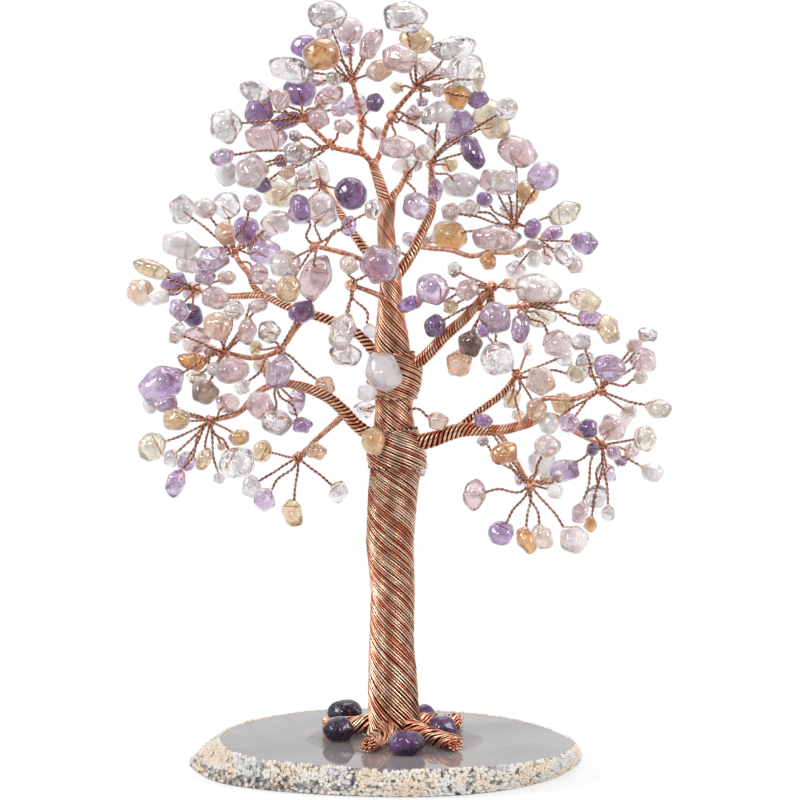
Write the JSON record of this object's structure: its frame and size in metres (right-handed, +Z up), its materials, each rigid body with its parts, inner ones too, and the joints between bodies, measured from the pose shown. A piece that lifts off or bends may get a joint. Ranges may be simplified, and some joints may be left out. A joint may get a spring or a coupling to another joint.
{
  "type": "gemstone tree ornament",
  "caption": "Ornamental tree of twisted copper wire hung with tumbled amethyst, rose quartz, citrine and clear quartz chips, standing on a polished agate slice.",
  "frame": {"origin": "on the slice's flat underside, below the trunk's axis at its foot", "axes": "+Z up along the trunk, -Y towards the picture's view, +X to its right"},
  "size_m": [0.1239, 0.0745, 0.1748],
  "materials": {
    "agate": "polished top, natural crystal rim",
    "clear_glue": "clear, glossy",
    "amethyst": "tumbled, glossy",
    "lavender": "tumbled, glossy",
    "rose_quartz": "tumbled, glossy",
    "peach_quartz": "tumbled, glossy",
    "citrine": "tumbled, glossy",
    "pale_citrine": "tumbled, glossy",
    "clear_quartz": "tumbled, glossy",
    "smoky_quartz": "tumbled, glossy",
    "root_amethyst": "tumbled, glossy, dark",
    "twisted_copper_wire": "bare copper, twisted pairs",
    "copper_wire": "bare copper, bright",
    "copper_core_wire": "bare copper, hidden"
  },
  "bodies": {
    "root": {"agate_slice": "agate", "chips_amethyst_left": "amethyst", "chips_amethyst_right": "amethyst", "chips_amethyst_upper": "amethyst", "chips_citrine_left": "citrine", "chips_citrine_right": "citrine", "chips_citrine_upper": "citrine", "chips_clear_quartz_left": "clear_quartz", "chips_clear_quartz_right": "clear_quartz", "chips_clear_quartz_upper": "clear_quartz", "chips_lavender_left": "lavender", "chips_lavender_right": "lavender", "chips_lavender_upper": "lavender", "chips_pale_citrine_left": "pale_citrine", "chips_pale_citrine_right": "pale_citrine", "chips_pale_citrine_upper": "pale_citrine", "chips_peach_quartz_left": "peach_quartz", "chips_peach_quartz_right": "peach_quartz", "chips_peach_quartz_upper": "peach_quartz", "chips_rose_quartz_left": "rose_quartz", "chips_rose_quartz_right": "rose_quartz", "chips_rose_quartz_upper": "rose_quartz", "chips_smoky_quartz_left": "smoky_quartz", "chips_smoky_quartz_right": "smoky_quartz", "glue_film": "clear_glue", "high_left_branch": "copper_wire", "leader_left_arm": "copper_wire", "leader_right_arm": "copper_wire", "lower_left_bough": "copper_wire", "lower_right_bough": "copper_wire", "mid_left_bough": "copper_wire", "mid_right_bough": "copper_wire", "root_back": "copper_wire", "root_front": "copper_wire", "root_left": "copper_wire", "root_right": "copper_wire", "root_stone_back_left": "root_amethyst", "root_stone_back_right": "root_amethyst", "root_stone_front": "root_amethyst", "root_stone_front_left": "root_amethyst", "root_stone_right": "root_amethyst", "short_left_branch": "copper_wire", "trunk_core": "copper_core_wire", "trunk_lower_collar": "copper_wire", "trunk_lower_wrap": "copper_wire", "trunk_middle_wrap": "copper_wire", "trunk_upper_collar": "copper_wire", "trunk_upper_wrap": "copper_wire", "twigs_lower_left": "twisted_copper_wire", "twigs_lower_right": "twisted_copper_wire", "twigs_mid_left": "twisted_copper_wire", "twigs_mid_right": "twisted_copper_wire", "twigs_top": "twisted_copper_wire", "twigs_trunk_side": "twisted_copper_wire", "twigs_upper_left": "twisted_copper_wire", "twigs_upper_right": "twisted_copper_wire", "upper_left_bough": "copper_wire", "upper_right_bough": "copper_wire"}
  },
  "joints": []
}
